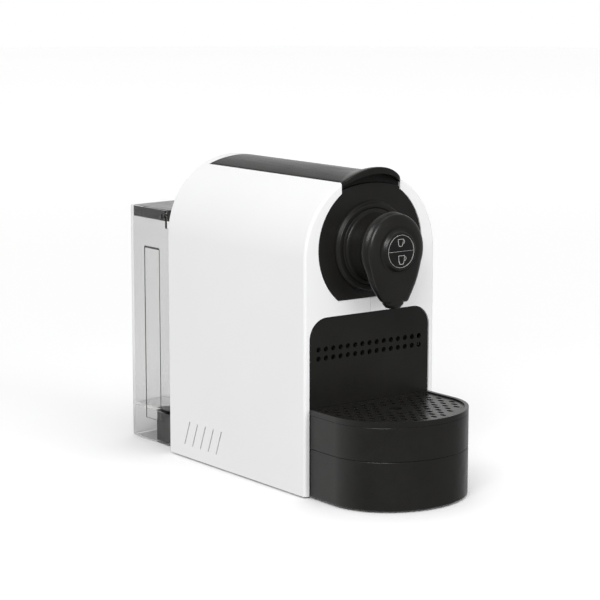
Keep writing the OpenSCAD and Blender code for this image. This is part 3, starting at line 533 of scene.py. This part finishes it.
def make_lever():
    """The lever's skin, with the lugs under it that carry the hinge pin and the links."""
    columns = 48
    inner = LEVER_HALF - SIDE_ROUND
    side = [LEVER_HALF, LEVER_HALF - 0.25 * SIDE_ROUND, LEVER_HALF - 0.6 * SIDE_ROUND]
    xs = [-x for x in side] + [inner * (2 * i / columns - 1) for i in range(columns + 1)] + side[::-1]
    sections = [[at(x, y, z) for y, z in lever_section(x)] for x in xs]
    bm = loft(sections)
    bm.verts.ensure_lookup_table()
    n = len(sections[0])
    bm.faces.new(bm.verts[:n])
    bm.faces.new(bm.verts[-n:])
    lever = piece("lever_skin", bm, "lever_black", "lever", "lever_black", "lever")
    shade_by_angle(lever, SHARP_DEG)
    lugs = bmesh.new()
    y0, z0 = HINGE
    crank_y, crank_z = y0 - CRANK_BACK, z0 - CRANK_DOWN
    for side in (-1, 1):
        outline = arc(y0, z0, 7, -100, 60, 10) + [(y0 - 2, z0 + 11), (crank_y - 6, z0 + 11)]
        outline += arc(crank_y, crank_z, 6, 180, 265, 6)
        extrude(outline, side * LUG_IN, side * LUG_OUT, lugs)
    lug = piece("lever_lugs", lugs, "lever_black", "lever", "lever_black")
    soften(lug, 0.5)


# ---------- head ----------

def lathe(profile, steps=128):
    """Spins (radius, y) points round the brewing axis into a closed ring."""
    rings = []
    for r, y in profile:
        rings.append([at(r * math.cos(2 * math.pi * k / steps), y,
                         HEAD_Z + r * math.sin(2 * math.pi * k / steps)) for k in range(steps)])
    return loft(rings, closed=True)


def make_ring():
    """Stepped ring round the barrel: a bevelled rim, a flat band and an inner lip."""
    r, f = RING_R, RING_FACE
    inner = r - 5.15
    profile = [(inner, 0.6), (r, 0.6), (r, f + 2.4), (r - 0.1, f + 2.1), (r - 0.35, f + 1.9),
               (r - 0.9, f + 1.65), (r - 1.1, f + 1.4), (r - 1.5, f + 0.6), (r - 1.7, f + 0.25),
               (r - 2.0, f + 0.08), (r - 2.4, f), (r - 4.5, f), (r - 4.9, f + 0.1),
               (inner + 0.05, f + 0.3), (inner, f + 0.6)]
    ring = piece("stepped_ring", lathe(profile), "black_trim", "machine", "black_trim", "head_ring")
    shade_by_angle(ring, 40)


def knob_outline(r, half, drop, corner=3.2):
    """Round top, slightly bulging flanks and a blunt tip with small corners."""
    cx, cz = half - corner, -(drop - corner)
    lean = math.degrees(math.atan2(cz, cx) + math.acos((r - corner) / math.hypot(cx, cz)))
    left = arc(-cx, cz, corner, 180 - lean, 270, 8)
    right = arc(cx, cz, corner, -90, lean, 8)
    points = arc(0, 0, r, lean, 180 - lean, 72)

    def flank(a, b, bulge=1.5, steps=14):
        made = []
        for k in range(1, steps):
            t = k / steps
            x, z = a[0] + (b[0] - a[0]) * t, a[1] + (b[1] - a[1]) * t
            made.append((x + math.copysign(bulge * math.sin(math.pi * t), x), z))
        return made

    points += flank(points[-1], left[0]) + left
    points += [(left[-1][0] + (right[0][0] - left[-1][0]) * k / 6, -drop) for k in range(1, 6)]
    return points + right + flank(right[-1], points[0])


TIP_HALF = 12.4
EGG_X, EGG_Z = 0.985, 1.035                          # the round part is a little taller than wide
NECK = 25.4                                          # radius of the barrel behind the knob
MOUTH, MOUTH_R = -27, 16                             # where the barrel ends, and its opening
POCKET_FLOOR = -31.4                                 # the cover's back face round the buttons


def knob_ring(y, inset, tip_half, rise):
    """A ring of the knob's outline at one depth: drawn in by inset all round, with a tip that
    is tip_half wide and stands rise above the lowest one."""
    outline = knob_outline(KNOB_R - 0.5 - inset, tip_half, KNOB_DROP - rise)
    return [at(EGG_X * x, y, HEAD_Z + (EGG_Z * z if z > 0 else z)) for x, z in outline]


def round_ring(y, r):
    """A circle whose points lie in line with those of knob_ring."""
    made = []
    for x, z in knob_outline(KNOB_R, TIP_HALF, KNOB_DROP):
        length = math.hypot(x, z)
        made.append(at(x / length * r, y, HEAD_Z + z / length * r))
    return made


def mixed(a, b, t):
    return [p.lerp(q, t) for p, q in zip(a, b)]


def make_knob():
    """Barrel that flares into the knob's back layer, and the domed cover in front of it.
    The two layers meet in a smooth valley, and the cover's face dips round the buttons."""
    flange = RING_R - 5.4
    back = [round_ring(0.6, flange), round_ring(RING_FACE + 0.25, flange),
            round_ring(RING_FACE, flange - 0.25), round_ring(RING_FACE, NECK + 1.3),
            round_ring(RING_FACE - 0.15, NECK + 0.8), round_ring(RING_FACE - 0.8, NECK + 0.3),
            round_ring(-6.5, NECK), round_ring(-12, NECK - 0.3), round_ring(-16, NECK - 0.4),
            round_ring(-18, NECK - 0.3), mixed(round_ring(-19, NECK), knob_ring(-19.2, 2.6, 8.6, 2.6), 0.5)]
    back += [knob_ring(y, inset, half, rise) for y, inset, half, rise in (
        (-19.8, 2.0, 9.0, 1.8), (-20.6, 1.35, 9.4, 1.1), (-21.5, 1.0, 9.6, 0.8),
        (-22.4, 0.95, 9.7, 0.7), (-23.4, 1.15, 9.6, 0.9), (-24.4, 1.7, 9.4, 1.3),
        (-25.3, 2.4, 9.4, 1.7), (-26.1, 3.1, 9.5, 2.0), (-26.95, 3.5, 9.6, 2.1))]
    back += [round_ring(MOUTH, MOUTH_R), round_ring(-18, MOUTH_R), round_ring(-18, 24),
             round_ring(0.6, 24)]
    barrel = piece("knob_back", loft(back, closed=True), "black_trim", "machine", "black_trim",
                   "knob_barrel")
    shade_by_angle(barrel, 50)
    f = KNOB_FACE
    cover = [round_ring(MOUTH, MOUTH_R)] + [knob_ring(y, inset, half, rise) for y, inset, half, rise in (
        (-27.0, 3.5, 9.7, 2.1), (-27.6, 2.9, 10.8, 1.4), (-28.3, 2.15, 12.0, 0.8),
        (-29.1, 1.9, 12.6, 0.5), (-29.9, 2.3, 12.6, 0.7), (-30.7, 3.2, 12.1, 1.3),
        (-31.4, 4.4, 11.4, 2.2), (-32.0, 5.7, 10.5, 3.3), (-32.5, 7.2, 9.4, 4.7))]
    cover += [mixed(cover[-1], round_ring(-32.9, 19.2), 0.5)]
    cover += [round_ring(y, r) for y, r in (
        (-33.0, 19.2), (-33.0, 18.5), (-32.8, 17.8), (-32.5, 17.1), (-32.4, 16.5), (-32.6, 15.9),
        (-33.3, 15.2), (-34.2, 14.6), (-34.9, 14.1), (f + 0.08, 13.6), (f, BORE + 0.6),
        (f + 0.1, BORE + 0.2), (f + 0.3, BORE), (POCKET_FLOOR, BORE),
        (POCKET_FLOOR, MOUTH_R))]
    face = piece("knob_front", loft(cover, closed=True), "black_trim", "machine", "black_trim",
                 "knob_cover")
    shade_by_angle(face, 50)


SPOUT_X, SPOUT_Y = 7.9, 6.1                          # half its width and depth at the top


def make_spout():
    """Short tapered outlet under the knob's tip, wider across than deep."""
    low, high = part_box("spout")
    y = (low.y + high.y) / 2 / MM - FRONT / MM
    z0, z1 = low.z / MM, high.z / MM

    def oval(z, half_x, half_y, steps=40):
        made = []
        for k in range(steps):
            a = 2 * math.pi * k / steps
            c, n = math.cos(a), math.sin(a)
            made.append(at(math.copysign(abs(c) ** 0.7, c) * half_x,
                           y + math.copysign(abs(n) ** 0.7, n) * half_y, z))
        return made

    rings = [oval(z0 + 0.3, 4.4, 4.1), oval(z0, 4.8, 4.5), oval(z0 + 0.3, 5.2, 4.8),
             oval(z0 + 2.6, 7.6, 5.9), oval(z0 + 3.4, SPOUT_X, SPOUT_Y), oval(z1, SPOUT_X, SPOUT_Y),
             oval(z1, 3.4, 3.4), oval(z0 + 0.6, 3.2, 3.2)]
    spout = piece("outlet", loft(rings, closed=True), "black_trim", "machine", "black_trim", "spout")
    shade_by_angle(spout, 45)


PANEL_NEAR, PANEL_FAR = 14.5, 37                     # the panel's ends, from the tank's front
PANEL_FOOT, PANEL_TOP = 18, 33                       # how far it stays from the tank's ends
LINE = 0.5                                           # width of its outline


def make_tank_frames():
    """Moulded outline of the shallow panel in each side of the tank, thickest along its top."""
    low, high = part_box("water_tank")
    half, front = high.x / MM, (low.y - FRONT) / MM
    y0, y1 = front + PANEL_NEAR, front + PANEL_FAR
    z0, z1 = low.z / MM + PANEL_FOOT, high.z / MM - PANEL_TOP
    for side in (-1, 1):
        bm = bmesh.new()
        x0, x1 = side * (half - 0.75), side * (half - 0.05)
        for outline in ([(y0, z0), (y0 + LINE, z0), (y0 + LINE, z1), (y0, z1)],
                        [(y1 - LINE, z0), (y1, z0), (y1, z1), (y1 - LINE, z1)],
                        [(y0, z1 - 0.2), (y1, z1 - 0.2), (y1 - 0.8, z1 + 1.4), (y0 + 0.8, z1 + 1.4)]):
            extrude(outline, x0, x1, bm)
        # Painted refraction: the clear outline is drawn in grey to stand in for how the wall bends light at
        # the panel's step.
        frame_piece = piece("tank_frame_" + ("left" if side < 0 else "right"), bm, "painted_refraction_line",
                            "tank", "tank_clear")
        soften(frame_piece, 0.15, 2)


MARK_WIDTH, MARK_RAISED = 0.5, 0.12                  # the cups' printed lines
DIVIDER_WIDTH, DIVIDER_RAISED = 0.24, 0.02


def stroke(points, width, raised, bm):
    """Adds a thin raised line along points in x and z on the buttons' face."""
    y0, y1 = BUTTON_FACE + 0.05, BUTTON_FACE - raised
    n = len(points)
    closed = points[0] == points[-1]
    if closed:
        points = points[:-1]
        n -= 1
    rows = []
    for i, (x, z) in enumerate(points):
        before = points[i - 1] if i or closed else points[i]
        after = points[(i + 1) % n] if i < n - 1 or closed else points[i]
        dx, dz = after[0] - before[0], after[1] - before[1]
        length = math.hypot(dx, dz)
        nx, nz = -dz / length * width / 2, dx / length * width / 2
        rows.append([bm.verts.new(at(x + s * nx, y, HEAD_Z + z + s * nz))
                     for s, y in ((-1, y0), (-1, y1), (1, y1), (1, y0))])
    for i in range(n if closed else n - 1):
        a, b = rows[i], rows[(i + 1) % n]
        for k in range(4):
            m = (k + 1) % 4
            bm.faces.new((a[k], a[m], b[m], b[k]))
    if not closed:
        bm.faces.new(rows[0])
        bm.faces.new(rows[-1][::-1])


def cup(centre_x, centre_z, width, height):
    """Outline of a tapered cup, rounded at its foot, with a ring handle at its right."""
    w, h = width / 2, height / 2
    body = [(centre_x - w, centre_z + h), (centre_x - w * 0.86, centre_z - h * 0.2)]
    body += arc(centre_x - w * 0.25, centre_z - h * 0.6, w * 0.5, 190, 255, 4)
    body += arc(centre_x + w * 0.25, centre_z - h * 0.6, w * 0.5, 285, 350, 4)
    body += [(centre_x + w * 0.86, centre_z - h * 0.2), (centre_x + w, centre_z + h),
             (centre_x - w, centre_z + h)]
    handle = arc(centre_x + w * 0.95, centre_z + h * 0.25, h * 0.5, 78, -100, 12)
    return body, handle


def make_icons():
    """Small cup over the espresso button, larger cup over the lungo button."""
    for name, body, x, z, width, height in (
            ("espresso_mark", "espresso", -0.6, 6.5, 4.9, 5.0),
            ("lungo_mark", "lungo", 0.3, -6.3, 5.7, 6.2)):
        bm = bmesh.new()
        for line in cup(x, z, width, height):
            stroke(line, MARK_WIDTH, MARK_RAISED, bm)
        piece(name, bm, "print_grey", body, "ring_grey")


def make_divider():
    """Thin light line between the two buttons, part of the ring round them."""
    bm = bmesh.new()
    stroke([(-BORE + 0.5, 0.0), (BORE - 0.5, 0.0)], DIVIDER_WIDTH, DIVIDER_RAISED, bm)
    piece("button_divider", bm, "print_grey", "machine", "ring_grey")


# ---------- studio ----------

FLOOR_R = 7.0
FLOOR_DROP = 0.0002                                  # keeps it just under the feet
FAR_GLOW = 0.25                                      # keeps the far floor as white as the air
GLOW_START, GLOW_FULL = 0.6, 2.5                     # distances, in m, over which it grows
GLOSS_FRONT, GLOSS_BACK = 0.2, 0.92                  # the air as gloss sees it
DIFFUSE_AIR = 0.76                                   # the air's light on matt surfaces
AIM = Vector((0, 0, 0.12))                           # where the lights point
CAMERA_PLACE = (-0.96767, -1.28485, 0.40413)
CAMERA_LOOK = Vector((0.59332, 0.78745, -0.16700))   # its viewing direction
CAMERA_LENS = 125.2


def make_floor():
    """A plain pale disc that ends in the white surroundings."""
    bm = bmesh.new()
    bmesh.ops.create_circle(bm, cap_ends=True, radius=FLOOR_R, segments=96)
    mesh = bpy.data.meshes.new("floor")
    bm.to_mesh(mesh)
    bm.free()
    floor = placed("floor", mesh)
    floor.location.z = -FLOOR_DROP
    look = Look("floor_white", (0.95, 0.95, 0.95), 0.7, Specular_IOR_Level=0.2,
                Emission_Color=(1, 1, 1, 1))
    reach = look.add("ShaderNodeVectorMath", operation="LENGTH")
    look.link(look.coords, reach.inputs[0])
    look.link(map_range(look.tree, reach.outputs["Value"], GLOW_START, GLOW_FULL, 0, FAR_GLOW),
              look.shader.inputs["Emission Strength"])
    look.tint(look.noise(0.6, 2), (0.945, 0.945, 0.945), (0.96, 0.96, 0.96))
    floor.data.materials.append(look.material)
    floor.visible_glossy = False
    floor.visible_diffuse = False


def softbox(name, location, size, power, mirrored=True):
    """A square light aimed at the machine. Gloss doesn't show one that isn't mirrored."""
    light = bpy.data.lights.new(name, "AREA")
    light.shape = "SQUARE"
    light.size = size
    light.energy = power
    obj = placed(name, light)
    obj.location = location
    obj.rotation_euler = (AIM - Vector(location)).to_track_quat("-Z", "Y").to_euler()
    obj.visible_glossy = mirrored


def make_surroundings():
    """White air to the eye, which gloss sees dim in front of the machine and bright behind."""
    world = bpy.data.worlds.new("studio")
    bpy.context.scene.world = world
    world.use_nodes = True
    tree = world.node_tree
    background = tree.nodes["Background"]
    background.inputs["Color"].default_value = (1, 1, 1, 1)

    def mixed_in(share, low, high):
        node = tree.nodes.new("ShaderNodeMix")
        tree.links.new(share, node.inputs["Factor"])
        for value, socket in ((low, node.inputs["A"]), (high, node.inputs["B"])):
            if isinstance(value, float):
                socket.default_value = value
            else:
                tree.links.new(value, socket)
        return node.outputs["Result"]

    path = tree.nodes.new("ShaderNodeLightPath")
    direction = tree.nodes.new("ShaderNodeSeparateXYZ")
    tree.links.new(tree.nodes.new("ShaderNodeTexCoord").outputs["Generated"], direction.inputs[0])
    gloss = map_range(tree, direction.outputs["Y"], -0.2, 0.9, GLOSS_FRONT, GLOSS_BACK)
    strength = mixed_in(path.outputs["Is Diffuse Ray"], 1.0, DIFFUSE_AIR)
    strength = mixed_in(path.outputs["Is Glossy Ray"], strength, gloss)
    tree.links.new(strength, background.inputs["Strength"])


def make_studio():
    """White surroundings, a key light from the upper left, a top light and a front fill."""
    make_floor()
    make_surroundings()
    softbox("key", (-1.6, -1.4, 1.6), 1.3, 34)
    softbox("top", (0.2, 0.3, 2.4), 1.6, 4)
    softbox("fill", (0.4, -2.3, 1.2), 1.4, 17, mirrored=False)


def make_camera():
    camera = bpy.data.cameras.new("camera")
    camera.lens = CAMERA_LENS
    camera.sensor_width = 36.0
    obj = placed("camera", camera)
    obj.location = CAMERA_PLACE
    obj.rotation_euler = CAMERA_LOOK.to_track_quat("-Z", "Y").to_euler()
    bpy.context.scene.camera = obj


bpy.context.scene.view_settings.view_transform = "Standard"
dress_cad_nodes()
make_casing()
make_lever()
make_ring()
make_knob()
make_spout()
make_tank_frames()
make_icons()
make_divider()
make_studio()
make_camera()
